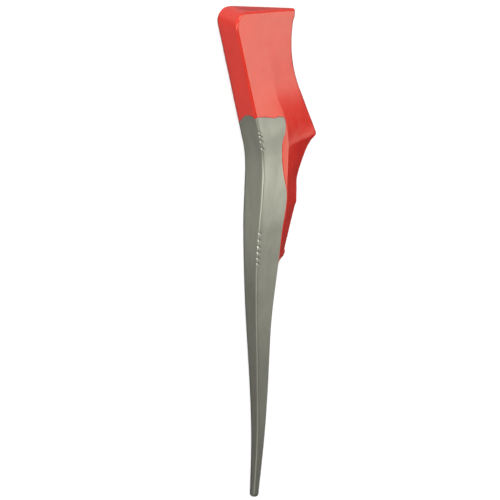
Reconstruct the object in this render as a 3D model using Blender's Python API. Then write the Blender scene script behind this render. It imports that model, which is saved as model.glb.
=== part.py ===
"""A farrier's clinch cutter, also called a buffer: a drop-forged wedge head with a long pritchel spike.

Two pieces: the forging, and the enamel coat over its head and web. +Y runs from the spike's tip to the
top of the head, +X from the thick spine that the hammer strikes to the thin edge, and +Z up from the
flat back that the tool lies on. The origin is under the middle of the tool's box, on its flat back.
Every section is worked out in the tool's own frame, in millimetres, with the tip at y = 0.
"""

import math

import bmesh
import bpy
from mathutils import Vector

MM = 0.001

# Lengths along the tool
SPIKE_LENGTH = 74.0        # tip to the tail of the web
WEB_LENGTH = 35.4          # tail of the web to the heel
HEAD_LENGTH = 42.6         # heel to the top of the head
TAIL_Y = SPIKE_LENGTH
HEEL_Y = TAIL_Y + WEB_LENGTH
TOP_Y = HEEL_Y + HEAD_LENGTH

# Head, seen from above
HEAD_LEAN = math.radians(13.1)     # lean of the spine, away from the edge
TOP_SLOPE = math.radians(8.5)      # fall of the top end, towards the edge
CORNER_RADIUS = 4.1                # corner between the spine and the top end
HEEL_WIDTH = 24.9                  # across the heel, from spine to edge
EDGE_FLARE = math.radians(22.0)    # slope of the edge's straight run, out to the heel
EDGE_RUN = 15.8                    # length of that run, above the heel
EDGE_RADIUS = 38.0                 # of the hollow edge, above the run
HEEL_RADIUS = 1.2
HEEL_UNDERCUT = 1.0                # run of the heel's underside, per unit of length

# Thicknesses
HEAD_THICKNESS = 12.2      # at the spine
HEAD_FULL = 7.0            # above the heel, where the bar has swelled to that thickness
EDGE_THICKNESS = 1.8       # at the blunt edge and around the web
ARRIS_FADE_START = 2.5     # above the heel, where the bar's arris begins to sink into the head's flank
ARRIS_FADE = 17.0          # length over which it does
FLANK_CROWN = 0.2          # how far the flank then stands proud of a flat wedge, on the arris's line
FLANK_RADIUS = 16.0        # of the flank there
BAR_SLOPE = 0.20           # fall of the bar's upper face, per unit of width
ARRIS_RADIUS = 0.7
TOP_RADIUS = 0.9
TIP_RADIUS = 0.7
SMALLEST_RADIUS = 0.15     # on the corners inside the coat

# Where the web's outline tapers back into the bar, below its tail
TAIL_TAPER = 5.0

# The enamel: its thickness, its clearance to the core and where it ends
COAT = 0.3
COAT_GAP = 0.3
PAINT_RISE = 7.8           # paint line above the heel
PAINT_LAP = 0.9            # how far the coat laps over the bar's upper face, beside the web
CORE_OVERLAP = 6.0         # how far the core runs on inside the bare bar

# Outline of the spike and the bar: (fraction of the length, value), from the tip to the tail
SPIKE_SPINE = ((0.0, -0.6), (0.22, -0.1), (0.43, -0.5), (0.83, -2.3))
SPIKE_THICKNESS = ((0.0, 2.85), (0.2, 3.9), (0.45, 5.05), (0.7, 6.65), (0.85, 7.45), (0.97, 8.2))
SPIKE_WIDTH = ((0.0, 2.15), (0.2, 2.9), (0.45, 4.45), (0.7, 5.9), (0.84, 7.35), (0.95, 8.6))
# The same from the tail to the heel
NECK_SPINE = ((0.28, -2.85), (0.6, -2.45), (0.82, -2.2))
NECK_THICKNESS = ((0.17, 9.35), (0.34, 10.3), (0.5, 10.8), (0.7, 11.1), (0.9, 11.2))
NECK_WIDTH = ((0.17, 9.3), (0.48, 10.15), (0.75, 9.8), (1.0, 10.3))
WEB_REACH = ((0.0, 13.1), (0.25, 15.7), (0.46, 17.5), (0.66, 17.6), (0.86, 20.2), (0.95, 22.5))
HEEL_SPINE = -2.9
HEAD_BAR_WIDTH = 11.0

RING_STEP = 3.0            # spacing of the sections along the tool
CORNER_POINTS = 4          # points on each rounded corner of a section
CORNER_RINGS = 12          # sections round the corner of the head
CORNER_CROWDING = 1.6      # how much closer they lie towards the top end

ENAMEL = (0.60, 0.035, 0.025, 1.0)
STEEL = (0.36, 0.35, 0.31, 1.0)


def spread(spike, neck, last):
    """Knots in millimetres from the spike's and the neck's fractions, and a last one."""
    knots = [(f * SPIKE_LENGTH, v) for f, v in spike]
    knots += [(TAIL_Y + f * WEB_LENGTH, v) for f, v in neck]
    return knots + [last]


def smooth(knots, y, end_slope=0.0):
    """A smooth curve through the knots, held at its first value below them."""
    if y <= knots[0][0]:
        return knots[0][1]
    for i in range(len(knots) - 1):
        (y0, v0), (y1, v1) = knots[i], knots[i + 1]
        if y <= y1:
            break
    else:
        return v1 + end_slope * (y - y1)

    def slope(j):
        if j == 0:
            return (knots[1][1] - knots[0][1]) / (knots[1][0] - knots[0][0])
        if j == len(knots) - 1:
            return end_slope
        return (knots[j + 1][1] - knots[j - 1][1]) / (knots[j + 1][0] - knots[j - 1][0])

    h = y1 - y0
    t = (y - y0) / h
    return ((2 * t**3 - 3 * t**2 + 1) * v0 + (t**3 - 2 * t**2 + t) * h * slope(i)
            + (3 * t**2 - 2 * t**3) * v1 + (t**3 - t**2) * h * slope(i + 1))


def ease(t):
    """0 below 0, 1 above 1, and a soft step between."""
    t = min(max(t, 0.0), 1.0)
    return t * t * (3.0 - 2.0 * t)


SPINE_KNOTS = spread(SPIKE_SPINE, NECK_SPINE, (HEEL_Y, HEEL_SPINE))
THICKNESS_KNOTS = spread(SPIKE_THICKNESS, NECK_THICKNESS, (HEEL_Y + HEAD_FULL, HEAD_THICKNESS))
WIDTH_KNOTS = spread(SPIKE_WIDTH, NECK_WIDTH, (HEEL_Y + HEAD_FULL, HEAD_BAR_WIDTH))
REACH_KNOTS = [(TAIL_Y + f * WEB_LENGTH, v) for f, v in WEB_REACH] + [(HEEL_Y, HEEL_WIDTH)]


def spine_x(y):
    return smooth(SPINE_KNOTS, y, -math.tan(HEAD_LEAN))


def spine_thickness(y):
    return smooth(THICKNESS_KNOTS, y)


def bar_width(y):
    return smooth(WIDTH_KNOTS, y)


# The corner of the head: its arc touches the spine and the top end
SPINE_INWARD = Vector((math.cos(HEAD_LEAN), math.sin(HEAD_LEAN)))
TOP_INWARD = Vector((-math.sin(TOP_SLOPE), -math.cos(TOP_SLOPE)))
CORNER_OFFSET = CORNER_RADIUS * (SPINE_INWARD + TOP_INWARD) / (1.0 + SPINE_INWARD.dot(TOP_INWARD))
CORNER_TIP_Y = TOP_Y - CORNER_RADIUS - CORNER_OFFSET.y
CORNER_CENTRE = Vector((spine_x(CORNER_TIP_Y), CORNER_TIP_Y)) + CORNER_OFFSET

# The edge: straight up from the heel, then a hollow arc to the top end
HEEL = Vector((HEEL_SPINE + HEEL_WIDTH, HEEL_Y))
UP_EDGE = Vector((-math.sin(EDGE_FLARE), math.cos(EDGE_FLARE)))
RUN_END = HEEL + UP_EDGE * EDGE_RUN
EDGE_CENTRE = RUN_END + EDGE_RADIUS * Vector((math.cos(EDGE_FLARE), math.sin(EDGE_FLARE)))

# The heel's round nose, between the hollow edge and the heel's underside
DOWN_EDGE = Vector((-HEEL_UNDERCUT, -1.0)).normalized()
NOSE_HALF_ANGLE = math.acos(UP_EDGE.dot(DOWN_EDGE)) / 2.0
NOSE_TANGENT = HEEL_RADIUS / math.tan(NOSE_HALF_ANGLE)
NOSE_CENTRE = HEEL + (UP_EDGE + DOWN_EDGE).normalized() * HEEL_RADIUS / math.sin(NOSE_HALF_ANGLE)


def edge_x(y):
    """The outline on the edge side: bar, tail, web, heel and hollow edge."""
    bar_x = spine_x(y) + bar_width(y)
    if y < TAIL_Y:
        reach = REACH_KNOTS[0][1] - bar_width(y)
        return bar_x + reach * ease((y - TAIL_Y + TAIL_TAPER) / TAIL_TAPER)
    if HEEL.y + DOWN_EDGE.y * NOSE_TANGENT < y < HEEL.y + UP_EDGE.y * NOSE_TANGENT:
        return NOSE_CENTRE.x + math.sqrt(HEEL_RADIUS**2 - (y - NOSE_CENTRE.y) ** 2)
    if y < HEEL.y:
        return spine_x(y) + smooth(REACH_KNOTS, y, HEEL_UNDERCUT)
    if y < RUN_END.y:
        return HEEL.x - math.tan(EDGE_FLARE) * (y - HEEL.y)
    return EDGE_CENTRE.x - math.sqrt(EDGE_RADIUS**2 - (y - EDGE_CENTRE.y) ** 2)


def arris(x1, y):
    """The bar's arris, which fades into the flank of the head's wedge: its x and z, and its radius."""
    fade = ease((y - HEEL_Y - ARRIS_FADE_START) / ARRIS_FADE)
    x = spine_x(y) + bar_width(y)
    wedge_slope = (spine_thickness(y) - EDGE_THICKNESS) / max(x1 - spine_x(y), bar_width(y))
    on_flank = EDGE_THICKNESS + wedge_slope * (x1 - x) + FLANK_CROWN
    on_bar = spine_thickness(y) - BAR_SLOPE * bar_width(y)
    return x, on_bar + (on_flank - on_bar) * fade, ARRIS_RADIUS + (FLANK_RADIUS - ARRIS_RADIUS) * fade


def moved_corner(before, here, after, before_depth, after_depth):
    """A corner once the sides that meet there have each moved inwards."""
    one = Vector((here.y - before.y, before.x - here.x)).normalized()
    two = Vector((after.y - here.y, here.x - after.x)).normalized()
    cross = one.x * two.y - one.y * two.x
    if abs(cross) < 0.001:
        return here + two * after_depth
    return here + Vector((before_depth * two.y - after_depth * one.y,
                          after_depth * one.x - before_depth * two.x)) / cross


def section(x0, y, tilt, inset, shrink):
    """Corners (x, y, z, radius) of one section, whose line falls by tilt per unit of x from (x0, y).

    inset moves every side but the spine, where x0 already has it, and shrink moves all of them.
    """
    x1 = edge_x(y)
    for _ in range(8):
        x1 = edge_x(y - tilt * (x1 - x0))
    arris_x, arris_z, arris_radius = arris(x1, y)
    fall = (spine_thickness(y) - arris_z) / (arris_x - spine_x(y))
    ridge_z = spine_thickness(y) - fall * (x0 - spine_x(y))
    outline = [Vector((x0, 0.0)), Vector((x0, ridge_z)), Vector((arris_x, arris_z)),
               Vector((x1, min(EDGE_THICKNESS, arris_z / 2.0))), Vector((x1, 0.0))]
    radii = [ARRIS_RADIUS, ARRIS_RADIUS, arris_radius, ARRIS_RADIUS, ARRIS_RADIUS]
    depths = [shrink] + 4 * [inset + shrink]
    corners = []
    for i, here in enumerate(outline):
        moved = moved_corner(outline[i - 1], here, outline[(i + 1) % 5], depths[i - 1], depths[i])
        radius = max(radii[i] - inset, SMALLEST_RADIUS)
        corners.append((moved.x, y - tilt * (moved.x - x0), moved.y, radius))
    return corners


def rounded(corners):
    """The section's outline with each corner replaced by a short curve."""
    points = []
    for i, (x, y, z, r) in enumerate(corners):
        here = Vector((x, y, z))
        before = Vector(corners[i - 1][:3]) - here
        after = Vector(corners[(i + 1) % len(corners)][:3]) - here
        turn = math.pi - before.angle(after)
        room = 0.45 * min(before.length, after.length)
        reach = min(max(r * math.tan(turn / 2.0), 0.1 * room), room)
        start = here + before.normalized() * reach
        end = here + after.normalized() * reach
        for k in range(CORNER_POINTS):
            t = k / (CORNER_POINTS - 1)
            points.append((1 - t) ** 2 * start + 2 * t * (1 - t) * here + t**2 * end)
    return points


def tilt_at(y):
    """Sections lie square to the tool below the heel, and turn parallel to the top end above it."""
    return math.tan(TOP_SLOPE) * ease((y - HEEL_Y - 6.0) / (HEAD_LENGTH - 12.0))


def stations(start):
    """Heights of the sections below the corner of the head, with one on each feature."""
    arc_start = CORNER_CENTRE.y - CORNER_RADIUS * math.sin(HEAD_LEAN)
    features = [TAIL_Y - TAIL_TAPER, TAIL_Y, NOSE_CENTRE.y, HEEL.y + UP_EDGE.y * NOSE_TANGENT,
                HEEL.y + DOWN_EDGE.y * NOSE_TANGENT, RUN_END.y, arc_start]
    levels = [start] + [y for y in sorted(features) if y > start]
    heights = []
    for low, high in zip(levels, levels[1:]):
        steps = max(1, round((high - low) / RING_STEP))
        heights += [low + (high - low) * i / steps for i in range(steps)]
    return heights


def tip_sections():
    """The spike's rounded end, up to where its full section begins."""
    sections = []
    for degrees in (90.0, 60.0, 30.0):
        angle = math.radians(degrees)
        y = TIP_RADIUS * (1.0 - math.sin(angle))
        sections.append(section(spine_x(y), y, 0.0, 0.0, TIP_RADIUS * (1.0 - math.cos(angle))))
    return sections


def long_sections(start, inset):
    """From start up to the corner of the head."""
    side = inset / math.cos(HEAD_LEAN)
    return [section(spine_x(y) + side, y, tilt_at(y), inset, 0.0) for y in stations(start)]


def corner_sections(inset):
    """Round the corner of the head to its top end, whose edges are rounded too."""
    radius = CORNER_RADIUS - inset
    cap_radius = TOP_RADIUS - inset
    top_angle = math.pi / 2.0 - TOP_SLOPE
    sweep = math.pi / 2.0 + HEAD_LEAN + TOP_SLOPE
    sections = []
    for i in range(CORNER_RINGS + 1):
        left = sweep * (1.0 - i / CORNER_RINGS) ** CORNER_CROWDING
        x = CORNER_CENTRE.x + radius * math.cos(top_angle + left)
        y = CORNER_CENTRE.y + radius * math.sin(top_angle + left)
        above_round = cap_radius - radius * (1.0 - math.cos(left))
        shrink = 0.0
        if above_round > 0.0:
            shrink = cap_radius - math.sqrt(cap_radius**2 - above_round**2)
        sections.append(section(x, y, math.tan(TOP_SLOPE), inset, shrink))
    return sections


def loft(name, sections):
    """A closed solid through the sections."""
    mesh = bmesh.new()
    rings = [[mesh.verts.new(point * MM) for point in rounded(corners)] for corners in sections]
    for low, high in zip(rings, rings[1:]):
        for i in range(len(low)):
            j = (i + 1) % len(low)
            mesh.faces.new((low[i], low[j], high[j], high[i]))
    mesh.faces.new(rings[0][::-1])
    mesh.faces.new(rings[-1])
    bmesh.ops.recalc_face_normals(mesh, faces=mesh.faces)
    data = bpy.data.meshes.new(name)
    mesh.to_mesh(data)
    mesh.free()
    return data


def painted_region(name, grow=0.0):
    """A prism over the painted part: the head, the heel and the web as far as the bar's arris."""
    paint_y = HEEL_Y + PAINT_RISE
    low_y = TAIL_Y - 0.8 * TAIL_TAPER
    beyond = 2.0 * HEEL_WIDTH
    steps = 24
    outline = []
    for i in range(steps + 1):
        y = low_y + (paint_y - low_y) * i / steps
        arris_x = spine_x(y) + bar_width(y)
        outline.append((arris_x - PAINT_LAP - grow, y - (grow if i in (0, steps) else 0.0)))
    outline += [(-beyond, paint_y - grow), (-beyond, TOP_Y + beyond), (beyond, TOP_Y + beyond),
                (beyond, low_y - grow)]
    curve = bpy.data.curves.new(name, "CURVE")
    curve.dimensions = "2D"
    curve.fill_mode = "BOTH"
    curve.extrude = 2.0 * HEAD_THICKNESS * MM
    spline = curve.splines.new("POLY")
    spline.points.add(len(outline) - 1)
    for point, (x, y) in zip(spline.points, outline):
        point.co = (x * MM, y * MM, 0.0, 1.0)
    spline.use_cyclic_u = True
    source = bpy.data.objects.new(name + "_outline", curve)
    bpy.context.scene.collection.objects.link(source)
    depsgraph = bpy.context.evaluated_depsgraph_get()
    data = bpy.data.meshes.new_from_object(source.evaluated_get(depsgraph))
    bpy.data.objects.remove(source)
    mesh = bmesh.new()
    mesh.from_mesh(data)
    bmesh.ops.remove_doubles(mesh, verts=mesh.verts, dist=0.00001)
    bmesh.ops.recalc_face_normals(mesh, faces=mesh.faces)
    mesh.to_mesh(data)
    mesh.free()
    data.name = name
    return data


def material(name, colour, roughness, metallic):
    made = bpy.data.materials.new(name)
    made.use_nodes = True
    shader = made.node_tree.nodes["Principled BSDF"]
    shader.inputs["Base Color"].default_value = colour
    shader.inputs["Roughness"].default_value = roughness
    shader.inputs["Metallic"].default_value = metallic
    return made


def place(data, collection, centre):
    thing = bpy.data.objects.new(data.name, data)
    thing.location = (-centre.x, -centre.y, 0.0)
    collection.objects.link(thing)
    return thing


def cutter(data, collection, centre):
    thing = place(data, collection, centre)
    thing.hide_render = True
    thing.display_type = "WIRE"
    return thing


def combine(target, other, operation):
    step = target.modifiers.new(operation.lower(), "BOOLEAN")
    step.operation = operation
    step.object = other


def finish(thing, finish_material):
    thing.data.shade_smooth()
    thing.data.set_sharp_from_angle(angle=math.radians(35.0))
    thing.data.materials.append(finish_material)


def main():
    for thing in list(bpy.data.objects):
        bpy.data.objects.remove(thing)
    parts = bpy.data.collections.new("clinch_cutter")
    cutters = bpy.data.collections.new("cutters")
    bpy.context.scene.collection.children.link(parts)
    bpy.context.scene.collection.children.link(cutters)

    surface_sections = tip_sections() + long_sections(TIP_RADIUS, 0.0) + corner_sections(0.0)
    surface = loft("forged_body", surface_sections)
    spots = [v.co for v in surface.vertices]
    centre = Vector(((min(p.x for p in spots) + max(p.x for p in spots)) / 2.0,
                     (min(p.y for p in spots) + max(p.y for p in spots)) / 2.0))
    core_start = TAIL_Y - TAIL_TAPER - CORE_OVERLAP
    core_inset = COAT + COAT_GAP

    forging = place(surface, parts, centre)
    core_sections = long_sections(core_start, core_inset) + corner_sections(core_inset)
    core = cutter(loft("core", core_sections), cutters, centre)
    combine(forging, cutter(painted_region("bare_limit", COAT_GAP), cutters, centre), "DIFFERENCE")
    combine(forging, core, "UNION")
    finish(forging, material("ground_steel", STEEL, 0.45, 1.0))

    coat = place(loft("red_coat", surface_sections), parts, centre)
    hollow_sections = long_sections(core_start, COAT) + corner_sections(COAT)
    hollow = cutter(loft("coat_inside", hollow_sections), cutters, centre)
    combine(coat, cutter(painted_region("coat_limit"), cutters, centre), "INTERSECT")
    combine(coat, hollow, "DIFFERENCE")
    finish(coat, material("red_enamel", ENAMEL, 0.3, 0.0))


main()
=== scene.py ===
"""The looks of a farrier's clinch cutter: the ground and forged steel, and the red enamel on its head.

Each section is worked out in millimetres in the tool's own frame, as the CAD has it: the spike's tip at
y = 0, the spine on the left, the thin edge on the right, and the flat back at z = 0.
"""

import math

import bpy
import numpy as np
from mathutils import Matrix, Vector, noise


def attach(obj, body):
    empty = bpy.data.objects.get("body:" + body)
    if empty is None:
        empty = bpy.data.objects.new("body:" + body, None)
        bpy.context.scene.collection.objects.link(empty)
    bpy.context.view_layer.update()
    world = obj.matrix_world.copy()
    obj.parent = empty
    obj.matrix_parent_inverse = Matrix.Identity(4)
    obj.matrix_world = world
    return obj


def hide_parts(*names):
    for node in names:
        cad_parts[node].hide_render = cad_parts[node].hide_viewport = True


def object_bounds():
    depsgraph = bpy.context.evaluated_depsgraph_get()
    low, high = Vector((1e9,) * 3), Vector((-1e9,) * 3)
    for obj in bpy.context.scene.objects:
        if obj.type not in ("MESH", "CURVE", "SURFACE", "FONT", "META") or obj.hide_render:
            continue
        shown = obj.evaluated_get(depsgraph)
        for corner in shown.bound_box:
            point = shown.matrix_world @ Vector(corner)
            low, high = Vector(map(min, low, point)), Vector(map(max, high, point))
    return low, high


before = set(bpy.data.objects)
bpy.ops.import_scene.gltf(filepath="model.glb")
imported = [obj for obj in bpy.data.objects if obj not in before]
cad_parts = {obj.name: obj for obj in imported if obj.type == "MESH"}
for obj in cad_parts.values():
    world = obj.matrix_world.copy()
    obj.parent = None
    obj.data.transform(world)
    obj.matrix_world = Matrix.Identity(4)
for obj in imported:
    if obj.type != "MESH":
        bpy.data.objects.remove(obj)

CAD_LOW, CAD_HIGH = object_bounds()
MM = 0.001

# Lengths along the tool
TAIL_Y = 74.0
HEEL_Y = 109.4
TOP_Y = 152.0

# Head, seen from above
HEAD_LEAN = math.radians(13.1)
TOP_SLOPE = math.radians(8.5)
CORNER_RADIUS = 4.1
HEEL_WIDTH = 24.9
HEEL_SPINE = -2.9
EDGE_FLARE = math.radians(22.0)
EDGE_RUN = 15.8
EDGE_RADIUS = 38.0
HEEL_RADIUS = 1.2
HEEL_UNDERCUT = 1.0

# Thicknesses
HEAD_THICKNESS = 12.2
HEAD_FULL = 7.0
EDGE_THICKNESS = 1.8
ARRIS_FADE_START = 2.5
ARRIS_FADE = 17.0
FLANK_CROWN = 0.2
FLANK_RADIUS = 16.0
BAR_SLOPE = 0.20
ARRIS_RADIUS = 0.7
TOP_RADIUS = 0.9
TIP_RADIUS = 0.7

# Outline of the spike, the bar and the web: (y, value)
SPINE_KNOTS = ((0, -0.6), (16.3, -0.1), (31.8, -0.5), (61.4, -2.3), (83.9, -2.85), (95.2, -2.45),
               (103.0, -2.2), (HEEL_Y, HEEL_SPINE))
THICKNESS_KNOTS = ((0, 2.85), (14.8, 3.9), (33.3, 5.05), (51.8, 6.65), (62.9, 7.45), (71.8, 8.2),
                   (80.0, 9.35), (86.0, 10.3), (91.7, 10.8), (98.8, 11.1), (105.9, 11.2),
                   (HEEL_Y + HEAD_FULL, HEAD_THICKNESS))
WIDTH_KNOTS = ((0, 2.15), (14.8, 2.9), (33.3, 4.45), (51.8, 5.9), (62.2, 7.35), (70.3, 8.6), (80.0, 9.3),
               (91.0, 10.15), (100.6, 9.8), (HEEL_Y, 10.3), (HEEL_Y + HEAD_FULL, 11.0))
REACH_KNOTS = ((TAIL_Y, 13.1), (82.9, 15.7), (90.3, 17.5), (97.4, 17.6), (104.4, 20.2), (107.6, 22.5),
               (HEEL_Y, HEEL_WIDTH))

# The web's tail, and where a paint run stands proud of the edge: (y, height, half length)
TAIL_END = 72.3
TAIL_STEP = 1.1
EDGE_RUNS = ((74.3, 0.45, 0.8), (89.5, 0.3, 0.9), (146.4, 0.25, 0.8))

# Where the enamel stops: (height up the spine face, y), (distance from the ridge, y)
PAINT_LINE_SPINE = ((0, 115.6), (1.8, 116.6), (3.2, 117.6), (4.7, 118.5), (6.7, 119.3), (8.7, 119.7),
                    (10.4, 119.5), (11.5, 119.2), (12.2, 119.3))
PAINT_LINE_FLANK = ((0, 119.3), (0.5, 119.6), (1.8, 119.5), (3.7, 119.2), (5.4, 118.8), (7.3, 118.3),
                    (8.5, 118.35), (9.7, 118.4), (10.8, 118.0), (11.7, 117.6))
# and how far it laps over the bar beside the web: (y, lap)
PAINT_LAP = ((72, 0.1), (77, 0.2), (86, 0.35), (92.5, 0.15), (95.6, 0.4), (98.7, 1.2), (101.8, 1.9),
             (105, 2.3), (108, 2.3), (111, 1.8), (113.2, 0.7), (115, 0.2), (117.2, -0.4))

# Which points count as on the spine or the back, and the paint's wavy line on the back
SPINE_BAND = 0.35
BACK_BAND = 0.25
BACK_LINE = 116.0
BACK_WAVE = 0.5
BACK_WAVE_RATE = 0.9
TAIL_LAP = 0.6             # how far the paint runs on below the web's tail

# Nicks that the grinder left in the ridge: (y, depth)
NICKS = ((73.9, 0.22), (75.6, 0.34), (77.5, 0.36), (79.3, 0.36), (81.4, 0.3), (83.6, 0.24), (110.0, 0.3),
         (112.3, 0.34), (113.9, 0.3), (115.1, 0.18))
NICK_HALF_WIDTH = 0.42
NICK_SLANT = 0.6
NICK_REACH = 1.6

# Depths below the CAD's surface
BARE_DEPTH = 0.06
STEEL_UNDER_COAT = 0.18
COAT_OUTSIDE = 0.015
COAT_INSIDE = 0.13
COAT_EDGE_OUTSIDE = 0.04   # both at the ground edge of the paint
COAT_EDGE_INSIDE = 0.05
COAT_FEATHER = 0.5         # width over which the coat thins towards its ground edge

# Painted shade in dark rims: round the flat back, and along the thin edge
SHADE_RIM_HEIGHT = 1.9
EDGE_SHADE_WIDTH = 0.9
EDGE_RIM_SHADE = 0.5

# Lumps that forging left under the enamel: (size, depth, seed), much fainter on the ground steel
FORGED_LUMPS = ((7.0, 0.04, 1.0), (2.5, 0.015, 2.0))
GROUND_SHARE = 0.8         # of the lumps that grinding takes off
GROUND_FEATHER = 0.4       # width over which it does, at the paint's edge

# The grid: (from y, to y, spacing of its rings), and the points on a section's corners and sides
RING_ZONES = ((0.7, 66.0, 0.8), (66.0, 72.0, 0.4), (72.0, 75.6, 0.12), (75.6, 86.0, 0.2),
              (86.0, 106.0, 0.4), (106.0, 116.0, 0.16), (116.0, 121.0, 0.25), (121.0, 146.6, 0.5))
CORNER_RINGS = 36
CORNER_CROWDING = 1.6      # how much closer they lie towards the top end
TILT_MARGIN = 6.0          # the sections begin to tilt this far above the heel, and end below the top
TIP_CAP = (0.02, 0.35, 0.7)
TOP_CAP = (0.985, 0.95, 0.9, 0.8, 0.65, 0.45, 0.25, 0.02)
CORNER_POINTS = (7, 11, 11, 7, 7)
SIDE_POINTS = (18, 34, 24, 3, 28)


# Stage, in metres: the sky's strength along an axis is (low, high, strength at low, at high)
FLOOR_REACH = 2.0
FLOOR_DROP = 0.0001
SKY_GLOW = (("X", (-0.35, 0.45, 0.28, 0.06)), ("Y", (0.0, 0.3, 0.0, 0.38)))

# Camera: a long lens, framed by the width that it sees at the tool
LENS = 1500.0
SENSOR = 36.0
VIEW_WIDTH = 0.14957
VIEW_TARGET = Vector((-0.00519, -0.00005, 0.0))
VIEW_RIGHT = Vector((0.866, 0.0, 0.5))
VIEW_UP = Vector((0.12, 0.971, -0.208))


def smooth(knots, y, end_slope=0.0):
    """A smooth curve through the knots: level below the first, and straight beyond the last."""
    at, value = np.array(knots, float).T
    slope = np.empty(len(at))
    slope[0] = (value[1] - value[0]) / (at[1] - at[0])
    slope[1:-1] = (value[2:] - value[:-2]) / (at[2:] - at[:-2])
    slope[-1] = end_slope
    i = np.clip(np.searchsorted(at, y) - 1, 0, len(at) - 2)
    h = at[i + 1] - at[i]
    t = np.clip((y - at[i]) / h, 0, 1)
    return ((2 * t**3 - 3 * t**2 + 1) * value[i] + (t**3 - 2 * t**2 + t) * h * slope[i]
            + (3 * t**2 - 2 * t**3) * value[i + 1] + (t**3 - t**2) * h * slope[i + 1]
            + end_slope * np.maximum(y - at[-1], 0))


def ease(t):
    t = np.clip(t, 0.0, 1.0)
    return t * t * (3.0 - 2.0 * t)


def spine_x(y):
    return smooth(SPINE_KNOTS, y, -math.tan(HEAD_LEAN))


def spine_thickness(y):
    return smooth(THICKNESS_KNOTS, y)


def bar_width(y):
    return smooth(WIDTH_KNOTS, y)


def unit(x, y):
    return np.array((x, y)) / math.hypot(x, y)


# The corner of the head, whose arc touches the spine and the top end
SPINE_INWARD = unit(math.cos(HEAD_LEAN), math.sin(HEAD_LEAN))
TOP_INWARD = unit(-math.sin(TOP_SLOPE), -math.cos(TOP_SLOPE))
CORNER_OFFSET = CORNER_RADIUS * (SPINE_INWARD + TOP_INWARD) / (1.0 + SPINE_INWARD @ TOP_INWARD)
CORNER_TIP_Y = TOP_Y - CORNER_RADIUS - CORNER_OFFSET[1]
CORNER_CENTRE = np.array((float(spine_x(CORNER_TIP_Y)), CORNER_TIP_Y)) + CORNER_OFFSET

# The edge: straight up from the heel, then a hollow arc to the top end
HEEL = np.array((HEEL_SPINE + HEEL_WIDTH, HEEL_Y))
UP_EDGE = unit(-math.sin(EDGE_FLARE), math.cos(EDGE_FLARE))
RUN_END = HEEL + UP_EDGE * EDGE_RUN
EDGE_CENTRE = RUN_END + EDGE_RADIUS * unit(math.cos(EDGE_FLARE), math.sin(EDGE_FLARE))

# The heel's round nose, between the hollow edge and the heel's underside
DOWN_EDGE = unit(-HEEL_UNDERCUT, -1.0)
NOSE_HALF_ANGLE = math.acos(UP_EDGE @ DOWN_EDGE) / 2.0
NOSE_TANGENT = HEEL_RADIUS / math.tan(NOSE_HALF_ANGLE)
NOSE_WAY = UP_EDGE + DOWN_EDGE
NOSE_CENTRE = HEEL + unit(*NOSE_WAY) * HEEL_RADIUS / math.sin(NOSE_HALF_ANGLE)


def edge_x(y):
    """The outline on the edge side: bar, tail, web, heel and hollow edge, with the paint's runs."""
    bar = spine_x(y) + bar_width(y)
    web = spine_x(y) + smooth(REACH_KNOTS, y, HEEL_UNDERCUT)
    nose = NOSE_CENTRE[0] + np.sqrt(np.maximum(HEEL_RADIUS**2 - (y - NOSE_CENTRE[1]) ** 2, 0))
    run = HEEL[0] - math.tan(EDGE_FLARE) * (y - HEEL[1])
    arc = EDGE_CENTRE[0] - np.sqrt(EDGE_RADIUS**2 - np.maximum(y - EDGE_CENTRE[1], -EDGE_RADIUS) ** 2)
    nose_low = HEEL[1] + DOWN_EDGE[1] * NOSE_TANGENT
    nose_high = HEEL[1] + UP_EDGE[1] * NOSE_TANGENT
    x = np.select([y < nose_low, y < nose_high, y < RUN_END[1]], [web, nose, run], arc)
    for at, height, half in EDGE_RUNS:
        x = x + height * np.exp(-((y - at) / half) ** 2)
    return bar + (x - bar) * ease((y - TAIL_END) / TAIL_STEP)


def arris(x1, y):
    """The bar's arris, which fades into the flank of the head's wedge: its x and z, and its radius."""
    fade = ease((y - HEEL_Y - ARRIS_FADE_START) / ARRIS_FADE)
    x = spine_x(y) + bar_width(y)
    wedge_slope = (spine_thickness(y) - EDGE_THICKNESS) / np.maximum(x1 - spine_x(y), bar_width(y))
    on_flank = EDGE_THICKNESS + wedge_slope * (x1 - x) + FLANK_CROWN
    on_bar = spine_thickness(y) - BAR_SLOPE * bar_width(y)
    return x, on_bar + (on_flank - on_bar) * fade, ARRIS_RADIUS + (FLANK_RADIUS - ARRIS_RADIUS) * fade


def moved_inwards(outline, depth):
    """The outline's corners (ring, corner, xz) once every side has moved inwards by depth (ring)."""
    before = outline - np.roll(outline, 1, axis=1)
    after = np.roll(outline, -1, axis=1) - outline
    one = np.stack((before[..., 1], -before[..., 0]), -1)
    two = np.stack((after[..., 1], -after[..., 0]), -1)
    one /= np.linalg.norm(one, axis=-1, keepdims=True)
    two /= np.linalg.norm(two, axis=-1, keepdims=True)
    share = 1.0 + (one * two).sum(-1, keepdims=True)
    return outline + depth[:, None, None] * (one + two) / share


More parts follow.
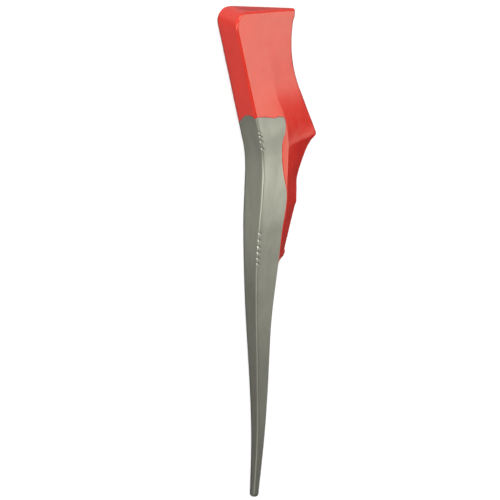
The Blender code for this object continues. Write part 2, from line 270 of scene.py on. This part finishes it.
def sections(x0, y, tilt, shrink):
    """Corner points (ring, corner, xyz) and radii of sections whose lines fall by tilt from (x0, y)."""
    x1 = edge_x(y)
    for _ in range(8):
        x1 = edge_x(y - tilt * (x1 - x0))
    arris_x, arris_z, arris_radius = arris(x1, y)
    fall = (spine_thickness(y) - arris_z) / (arris_x - spine_x(y))
    ridge_z = spine_thickness(y) - fall * (x0 - spine_x(y))
    edge_z = np.minimum(EDGE_THICKNESS, arris_z / 2.0)
    zero = 0.0 * y
    outline = np.stack((np.stack((x0, zero), -1), np.stack((x0, ridge_z), -1),
                        np.stack((arris_x, arris_z), -1), np.stack((x1, edge_z), -1),
                        np.stack((x1, zero), -1)), axis=1)
    moved = moved_inwards(outline, shrink)
    fallen = y[:, None] - tilt[:, None] * (moved[..., 0] - x0[:, None])
    corners = np.stack((moved[..., 0], fallen, moved[..., 1]), -1)
    radius = ARRIS_RADIUS + zero
    return corners, np.stack((radius, radius, arris_radius, radius, radius), -1)


def rounded(corners, radii):
    """The sections' outlines with round corners: (ring, point, xyz)."""
    before = np.roll(corners, 1, axis=1) - corners
    after = np.roll(corners, -1, axis=1) - corners
    before_length = np.linalg.norm(before, axis=-1)
    after_length = np.linalg.norm(after, axis=-1)
    cosine = (before * after).sum(-1) / (before_length * after_length)
    turn = math.pi - np.arccos(np.clip(cosine, -1.0, 1.0))
    room = 0.45 * np.minimum(before_length, after_length)
    reach = np.clip(radii * np.tan(turn / 2.0), 0.1 * room, room)
    start = corners + before * (reach / before_length)[..., None]
    end = corners + after * (reach / after_length)[..., None]
    weight = np.cos(turn / 2.0)[..., None]
    points = []
    for i in range(5):
        for t in np.linspace(0.0, 1.0, CORNER_POINTS[i]):
            bent = 2.0 * t * (1.0 - t) * weight[:, i]
            total = (1.0 - t) ** 2 + bent + t**2
            points.append(((1.0 - t) ** 2 * start[:, i] + bent * corners[:, i] + t**2 * end[:, i]) / total)
        onward = start[:, (i + 1) % 5]
        for t in np.linspace(0.0, 1.0, SIDE_POINTS[i] + 2)[1:-1]:
            points.append(end[:, i] * (1.0 - t) + onward * t)
    return np.stack(points, axis=1)


def cap_rings(ring, shares):
    """Rings that close an end: the last outline drawn together towards its middle."""
    middle = ring.mean(axis=0)
    return [middle + (ring - middle) * share for share in shares]


def surface_grid():
    """The whole outer surface as rings of points, from the tip's cap to the top end's."""
    angle = np.radians((90.0, 67.5, 45.0, 22.5))
    tip_y = TIP_RADIUS * (1.0 - np.sin(angle))
    tip = rounded(*sections(spine_x(tip_y), tip_y, 0.0 * tip_y, TIP_RADIUS * (1.0 - np.cos(angle))))

    arc_start = CORNER_CENTRE[1] - CORNER_RADIUS * math.sin(HEAD_LEAN)
    heights = [np.arange(low, high - step / 2.0, step) for low, high, step in RING_ZONES]
    y = np.concatenate(heights)
    y = y[y < arc_start - 0.2]
    tilt = math.tan(TOP_SLOPE) * ease((y - HEEL_Y - TILT_MARGIN) / (TOP_Y - HEEL_Y - 2.0 * TILT_MARGIN))
    length = rounded(*sections(spine_x(y), y, tilt, 0.0 * y))

    spaced = np.linspace(1.0, 0.0, CORNER_RINGS) ** CORNER_CROWDING
    left = (math.pi / 2.0 + HEAD_LEAN + TOP_SLOPE) * spaced
    angle = math.pi / 2.0 - TOP_SLOPE + left
    above_round = np.maximum(TOP_RADIUS - CORNER_RADIUS * (1.0 - np.cos(left)), 0.0)
    shrink = TOP_RADIUS - np.sqrt(TOP_RADIUS**2 - above_round**2)
    corner = rounded(*sections(CORNER_CENTRE[0] + CORNER_RADIUS * np.cos(angle),
                               CORNER_CENTRE[1] + CORNER_RADIUS * np.sin(angle),
                               math.tan(TOP_SLOPE) + 0.0 * left, shrink))
    tip_cap = cap_rings(tip[0], TIP_CAP)
    top_cap = cap_rings(corner[-1], TOP_CAP)
    return np.concatenate((tip_cap, tip, length, corner, top_cap))


def grid_normals(grid):
    """Outward unit normals of the grid's points."""
    around = np.roll(grid, -1, axis=1) - np.roll(grid, 1, axis=1)
    along = np.gradient(grid, axis=0)
    normals = np.cross(around, along)
    length = np.linalg.norm(normals, axis=-1, keepdims=True)
    return normals / np.maximum(length, 1e-9)


def rumpled(grid, scale, seed):
    """Soft noise from 0 to 1 at each point, whose lumps are about scale millimetres wide."""
    shift = Vector((seed, 2.0 * seed, 3.0 * seed))
    values = [noise.noise(Vector(p) / scale + shift) for p in grid.reshape(-1, 3)]
    return np.clip(0.5 + 0.5 * np.array(values).reshape(grid.shape[:2]), 0.0, 1.0)


def nick_depth(grid):
    """How deep the grinder's nicks cut the ridge, with the ticks that they trail over the flank."""
    x, y, z = np.moveaxis(grid, -1, 0)
    across = x - spine_x(y)
    down = spine_thickness(y) - z
    fade = ease(1.0 - across / NICK_REACH) * ease(1.0 - (down - BAR_SLOPE * across) / 1.0)
    depth = 0.0 * x
    for at, cut in NICKS:
        off = (y - at + NICK_SLANT * across) / NICK_HALF_WIDTH
        depth = np.maximum(depth, cut * np.clip(1.0 - np.abs(off), 0.0, 1.0) * fade)
    return depth


def painted(grid):
    """Millimetres inside the painted region, negative on the bare steel."""
    x, y, z = np.moveaxis(grid, -1, 0)
    across = x - spine_x(y)
    thickness = spine_thickness(y)
    on_spine = across < SPINE_BAND
    on_back = (z < BACK_BAND) & ~on_spine
    line = np.where(on_spine, smooth(PAINT_LINE_SPINE, z * HEAD_THICKNESS / thickness),
                    smooth(PAINT_LINE_FLANK, across))
    line = np.where(on_back, BACK_LINE + BACK_WAVE * np.sin(across * BACK_WAVE_RATE), line)
    web = x - spine_x(y) - bar_width(y) + smooth(PAINT_LAP, y)
    return np.maximum(y - line, np.minimum(web, y - TAIL_END + TAIL_LAP))


def snapped(grid, value):
    """Moves the points nearest to value 0 onto it, so that the paint's edge runs along the grid."""
    grid, value = grid.copy(), value.copy()
    best = np.full(value.shape, np.inf)
    target = grid.copy()
    for axis, step in ((0, 1), (0, -1), (1, 1), (1, -1)):
        other, beyond = np.roll(value, -step, axis), np.roll(grid, -step, axis)
        crosses = value * other < 0.0
        if axis == 0:
            crosses[-1 if step == 1 else 0] = False
        share = np.where(crosses, value / np.where(crosses, value - other, 1.0), 1.0)
        length = share * np.linalg.norm(beyond - grid, axis=-1)
        take = crosses & (share <= 0.5) & (length < best)
        best = np.where(take, length, best)
        target = np.where(take[..., None], grid + share[..., None] * (beyond - grid), target)
    moved = np.isfinite(best)
    value[moved] = 0.0
    return target, value


def grid_faces(value):
    """The grid's faces, and whether each is painted. A face that the paint's edge crosses is split."""
    rings, count = value.shape
    faces, painted_faces = [], []
    for i in range(rings - 1):
        for j in range(count):
            k = (j + 1) % count
            quad = [(i, j), (i, k), (i + 1, k), (i + 1, j)]
            signs = [value[p] for p in quad]
            numbers = [a * count + b for a, b in quad]
            if min(signs) >= 0.0 or max(signs) <= 0.0:
                parts = [(numbers, signs)]
            elif signs[0] == 0.0 and signs[2] == 0.0:
                parts = [([numbers[q] for q in c], [signs[q] for q in c]) for c in ((0, 1, 2), (2, 3, 0))]
            else:
                parts = [([numbers[q] for q in c], [signs[q] for q in c]) for c in ((1, 2, 3), (3, 0, 1))]
            for corners, share in parts:
                faces.append(tuple(corners))
                painted_faces.append(sum(share) > 0.0)
    ends = [tuple(range(count))[::-1], tuple((rings - 1) * count + j for j in range(count))]
    for end, ring in zip(ends, (0, -1)):
        faces.append(end)
        painted_faces.append(value[ring].mean() > 0.0)
    return faces, painted_faces


def row_frame(points):
    """Tool millimetres to the row frame's metres, by the CAD box's left side, tip and back."""
    left = CORNER_CENTRE[0] - CORNER_RADIUS
    shift = np.array((CAD_LOW.x - left * MM, CAD_LOW.y, CAD_LOW.z))
    return points.reshape(-1, 3) * MM + shift


def painted_rim_shade(grid):
    """How dark the painted rim shade is at each point, from 0 to 1: round the flat back, and along the
    thin edge.
    """
    x, y, z = np.moveaxis(grid, -1, 0)
    to_edge = edge_x(y) - x
    side = np.minimum(x - spine_x(y), to_edge)
    back_painted_shade = ease(1.0 - z / SHADE_RIM_HEIGHT) * ease(1.0 - side / SHADE_RIM_HEIGHT)
    edge_painted_shade = EDGE_RIM_SHADE * ease(2.0 * (EDGE_SHADE_WIDTH - to_edge) / EDGE_SHADE_WIDTH) * (y > HEEL_Y)
    return np.maximum(back_painted_shade, edge_painted_shade)


def mesh_piece(name, points, rim, faces, finish):
    """A mesh object, with rim, its painted rim shade, kept as an attribute that its finish reads."""
    data = bpy.data.meshes.new(name)
    data.from_pydata(points.tolist(), [], faces)
    data.shade_smooth()
    # the attribute rim carries the painted shade at the rims
    shade = data.attributes.new("rim", "FLOAT", "POINT")
    shade.data.foreach_set("value", rim.ravel().astype(np.float32))
    data.materials.append(finish)
    piece = bpy.data.objects.new(name, data)
    bpy.context.scene.collection.objects.link(piece)
    return piece


def steel_piece(grid, normals, value, faces, finish):
    """The whole forging, a little lower where the enamel covers it."""
    cover = ease(value / COAT_FEATHER)
    depth = BARE_DEPTH + (STEEL_UNDER_COAT - BARE_DEPTH) * cover
    points = grid - normals * depth[..., None]
    return mesh_piece("forging", row_frame(points), painted_rim_shade(grid), faces, finish)


def coat_piece(grid, normals, value, faces, painted_faces, finish):
    """The enamel: a closed skin that thins to the ground edge of the paint."""
    cover = ease(value / COAT_FEATHER)
    outside = COAT_EDGE_OUTSIDE + (COAT_OUTSIDE - COAT_EDGE_OUTSIDE) * cover
    inside = COAT_EDGE_INSIDE + (COAT_INSIDE - COAT_EDGE_INSIDE) * cover
    outer = row_frame(grid - normals * outside[..., None])
    inner = row_frame(grid - normals * inside[..., None])
    own = [f for f, is_painted in zip(faces, painted_faces) if is_painted]
    used = sorted({v for f in own for v in f})
    number = {v: i for i, v in enumerate(used)}
    count = len(used)
    sides = {}
    for f in own:
        for a, b in zip(f, f[1:] + f[:1]):
            sides[(a, b)] = True
    rim = [(a, b) for a, b in sides if (b, a) not in sides]
    skin = [tuple(number[v] for v in f) for f in own]
    skin += [tuple(number[v] + count for v in f[::-1]) for f in own]
    skin += [(number[b], number[a], number[a] + count, number[b] + count) for a, b in rim]
    shade = painted_rim_shade(grid).ravel()[used]
    points = np.concatenate((outer[used], inner[used]))
    return mesh_piece("enamel", points, np.concatenate((shade, shade)), skin, finish)


class Nodes:
    """A material's node tree, with short calls to add to it."""

    def __init__(self, name, roughness, metallic):
        self.material = bpy.data.materials.new(name)
        self.material.use_nodes = True
        self.tree = self.material.node_tree
        self.shader = self.tree.nodes["Principled BSDF"]
        self.shader.inputs["Roughness"].default_value = roughness
        self.shader.inputs["Metallic"].default_value = metallic

    def add(self, kind, inputs=(), **settings):
        node = self.tree.nodes.new(kind)
        for key, value in settings.items():
            setattr(node, key, value)
        for key, value in dict(inputs).items():
            if isinstance(value, bpy.types.NodeSocket):
                self.tree.links.new(value, node.inputs[key])
            else:
                node.inputs[key].default_value = value
        return node

    def place(self, scale):
        """Object coordinates, multiplied along each axis."""
        spot = self.add("ShaderNodeTexCoord").outputs["Object"]
        return self.add("ShaderNodeMapping", {"Vector": spot, "Scale": scale}).outputs["Vector"]

    def noise(self, scale, detail=3.0, roughness=0.55):
        inputs = {"Vector": self.place(scale), "Scale": 1.0, "Detail": detail, "Roughness": roughness}
        return self.add("ShaderNodeTexNoise", inputs).outputs["Fac"]

    def spread(self, value, low, high, to_low, to_high):
        """value from low to high, as a number from to_low to to_high."""
        inputs = {"Value": value, "From Min": low, "From Max": high, "To Min": to_low, "To Max": to_high}
        return self.add("ShaderNodeMapRange", inputs).outputs["Result"]

    def mix(self, factor, one, two):
        node = self.add("ShaderNodeMix", data_type="RGBA")
        sockets = (node.inputs[0], node.inputs[6], node.inputs[7])
        for socket, value in zip(sockets, (factor, one, two)):
            if isinstance(value, bpy.types.NodeSocket):
                self.tree.links.new(value, socket)
            else:
                socket.default_value = value
        return node.outputs[2]

    def bump(self, height, strength, distance):
        inputs = {"Height": height, "Strength": strength, "Distance": distance}
        return self.add("ShaderNodeBump", inputs).outputs["Normal"]

    def give(self, **sockets):
        for key, value in sockets.items():
            self.tree.links.new(value, self.shader.inputs[key.replace("_", " ")])
        return self.material


def ground_steel():
    """Belt-ground tool steel: fine lengthwise scratches, cloudy, with a painted highlight on the bar and
    painted shade towards the tip.
    """
    nodes = Nodes("ground_steel", 0.4, 0.7)
    scratches = nodes.noise((5200.0, 260.0, 5200.0), 4.0, 0.7)
    clouds = nodes.noise((260.0, 120.0, 260.0), 4.0)
    along = nodes.add("ShaderNodeSeparateXYZ", {"Vector": nodes.place((1.0, 1.0, 1.0))}).outputs["Y"]
    # Painted light along the tool: the base colour darkens towards the tip as painted shade, is lightest
    # on the bar as a painted highlight, and eases back above it
    spike = nodes.mix(nodes.spread(along, -0.06, -0.01, 1.0, 0.0), (0.24, 0.24, 0.194, 1.0),
                      (0.18, 0.18, 0.148, 1.0))
    bar = nodes.mix(nodes.spread(along, -0.010, 0.006, 0.0, 1.0), spike, (0.35, 0.35, 0.284, 1.0))
    painted_light_grey = nodes.mix(nodes.spread(along, 0.024, 0.046, 0.0, 1.0), bar, (0.255, 0.255, 0.208, 1.0))
    black = (0.0, 0.0, 0.0, 1.0)
    clouded = nodes.mix(nodes.spread(clouds, 0.35, 0.7, 0.0, 0.13), painted_light_grey, black)
    scratched = nodes.mix(nodes.spread(scratches, 0.45, 0.75, 0.0, 0.10), clouded, black)
    # Painted shade: the steel darkens to near black at the rims, round the flat back and along the thin
    # edge
    rim = nodes.add("ShaderNodeAttribute", attribute_name="rim").outputs["Fac"]
    colour = nodes.mix(nodes.spread(rim, 0.1, 0.9, 0.0, 0.75), scratched, (0.03, 0.03, 0.028, 1.0))
    rough = nodes.spread(clouds, 0.3, 0.7, 0.40, 0.46)
    normal = nodes.bump(scratches, 0.25, 0.00002)
    return nodes.give(Base_Color=colour, Roughness=rough, Normal=normal)


def red_enamel():
    """Glossy red enamel over a forged surface: soft orange peel, and slightly uneven in colour."""
    nodes = Nodes("red_enamel", 0.3, 0.0)
    clouds = nodes.noise((190.0, 120.0, 190.0), 3.0)
    nodes.shader.inputs["Specular Tint"].default_value = (1.0, 0.97, 0.68, 1.0)
    nodes.shader.inputs["Specular IOR Level"].default_value = 0.74
    cloudy = nodes.mix(nodes.spread(clouds, 0.3, 0.7, 0.0, 1.0), (0.51, 0.012, 0.006, 1.0),
                       (0.465, 0.010, 0.005, 1.0))
    # Painted shade: the enamel darkens to a deep red at the rims, round the flat back and along the thin
    # edge
    rim = nodes.add("ShaderNodeAttribute", attribute_name="rim").outputs["Fac"]
    colour = nodes.mix(nodes.spread(rim, 0.1, 0.9, 0.0, 0.85), cloudy, (0.10, 0.004, 0.003, 1.0))
    peel = nodes.noise((380.0, 380.0, 380.0), 1.0)
    rough = nodes.spread(peel, 0.3, 0.7, 0.20, 0.26)
    normal = nodes.bump(peel, 0.07, 0.00006)
    return nodes.give(Base_Color=colour, Roughness=rough, Normal=normal)


def floor_finish():
    nodes = Nodes("pale_floor", 0.9, 0.0)
    nodes.shader.inputs["Base Color"].default_value = (0.96, 0.96, 0.96, 1.0)
    nodes.shader.inputs["Specular IOR Level"].default_value = 0.0
    return nodes.material


def aimed(back, up):
    """A rotation whose local Z points along back, with local Y close to up."""
    back, up = Vector(back).normalized(), Vector(up)
    right = up.cross(back).normalized()
    return Matrix((right, back.cross(right), back)).transposed().to_4x4()


def softbox(name, way, distance, size, radiance, target):
    """A rectangular light that shines at target from the direction way."""
    light = bpy.data.lights.new(name, "AREA")
    light.shape = "RECTANGLE"
    light.size, light.size_y = size
    light.energy = radiance * math.pi * size[0] * size[1]
    thing = bpy.data.objects.new(name, light)
    place = Vector(target) + Vector(way).normalized() * distance
    thing.matrix_world = Matrix.Translation(place) @ aimed(way, (0.0, 1.0, 0.0))
    bpy.context.scene.collection.objects.link(thing)
    return thing


def add_stage():
    """A pale floor, a sky that is brighter on the left and beyond the top end, and four softboxes."""
    data = bpy.data.meshes.new("floor")
    corners = [(-FLOOR_REACH, -FLOOR_REACH, 0.0), (FLOOR_REACH, -FLOOR_REACH, 0.0),
               (FLOOR_REACH, FLOOR_REACH, 0.0), (-FLOOR_REACH, FLOOR_REACH, 0.0)]
    data.from_pydata(corners, [], [(0, 1, 2, 3)])
    data.materials.append(floor_finish())
    floor = bpy.data.objects.new("floor", data)
    floor.location.z = CAD_LOW.z - FLOOR_DROP
    floor.visible_glossy = False
    bpy.context.scene.collection.objects.link(floor)

    world = bpy.data.worlds.new("sky")
    world.use_nodes = True
    tree = world.node_tree
    way = tree.nodes.new("ShaderNodeTexCoord")
    parts = tree.nodes.new("ShaderNodeSeparateXYZ")
    tree.links.new(way.outputs["Generated"], parts.inputs[0])
    glows = []
    for axis, ends in SKY_GLOW:
        glow = tree.nodes.new("ShaderNodeMapRange")
        for key, number in zip(("From Min", "From Max", "To Min", "To Max"), ends):
            glow.inputs[key].default_value = number
        tree.links.new(parts.outputs[axis], glow.inputs["Value"])
        glows.append(glow.outputs["Result"])
    total = tree.nodes.new("ShaderNodeMath")
    tree.links.new(glows[0], total.inputs[0])
    tree.links.new(glows[1], total.inputs[1])
    tree.nodes["Background"].inputs["Color"].default_value = (1.0, 1.0, 1.0, 1.0)
    tree.links.new(total.outputs[0], tree.nodes["Background"].inputs["Strength"])
    bpy.context.scene.world = world

    softbox("key", (0.885, -0.15, 0.475), 0.40, (0.32, 0.27), 2.3, (0.0, 0.045, 0.006))
    softbox("front", (-0.45, 0.20, 0.87), 1.2, (0.5, 0.5), 12.2, (0.0, 0.0, 0.0))
    softbox("top", (0.10, 0.85, 0.50), 0.9, (0.5, 0.5), 6.5, (0.0, 0.0, 0.0))
    softbox("fill", (-0.80, -0.10, 0.55), 0.9, (0.5, 0.5), 3.6, (0.0, 0.0, 0.0))


def add_camera():
    """Looks at the middle of the tool from above, half from the spine's side."""
    back = VIEW_RIGHT.cross(VIEW_UP).normalized()
    lens = bpy.data.cameras.new("camera")
    lens.lens = LENS
    lens.sensor_width = SENSOR
    distance = VIEW_WIDTH * LENS / SENSOR
    lens.clip_start = 0.1
    lens.clip_end = 4.0 * distance
    camera = bpy.data.objects.new("camera", lens)
    camera.matrix_world = Matrix.Translation(VIEW_TARGET + back * distance) @ aimed(back, VIEW_UP)
    bpy.context.scene.collection.objects.link(camera)
    bpy.context.scene.camera = camera


def main():
    grid = surface_grid()
    grid, value = snapped(grid, painted(grid))
    normals = grid_normals(grid)
    faces, painted_faces = grid_faces(value)
    bare = ease(1.0 - value / GROUND_FEATHER)
    grid = grid - normals * (nick_depth(grid) * bare)[..., None]
    forged = sum(depth * rumpled(grid, scale, seed) for scale, depth, seed in FORGED_LUMPS)
    grid = grid - normals * (forged * (1.0 - GROUND_SHARE * bare))[..., None]

    steel = steel_piece(grid, normals, value, faces, ground_steel())
    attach(steel, "root")
    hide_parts("forged_body")
    coat = coat_piece(grid, normals, value, faces, painted_faces, red_enamel())
    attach(coat, "root")
    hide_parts("red_coat")

    add_stage()
    add_camera()
    bpy.context.scene.view_settings.view_transform = "Standard"


main()
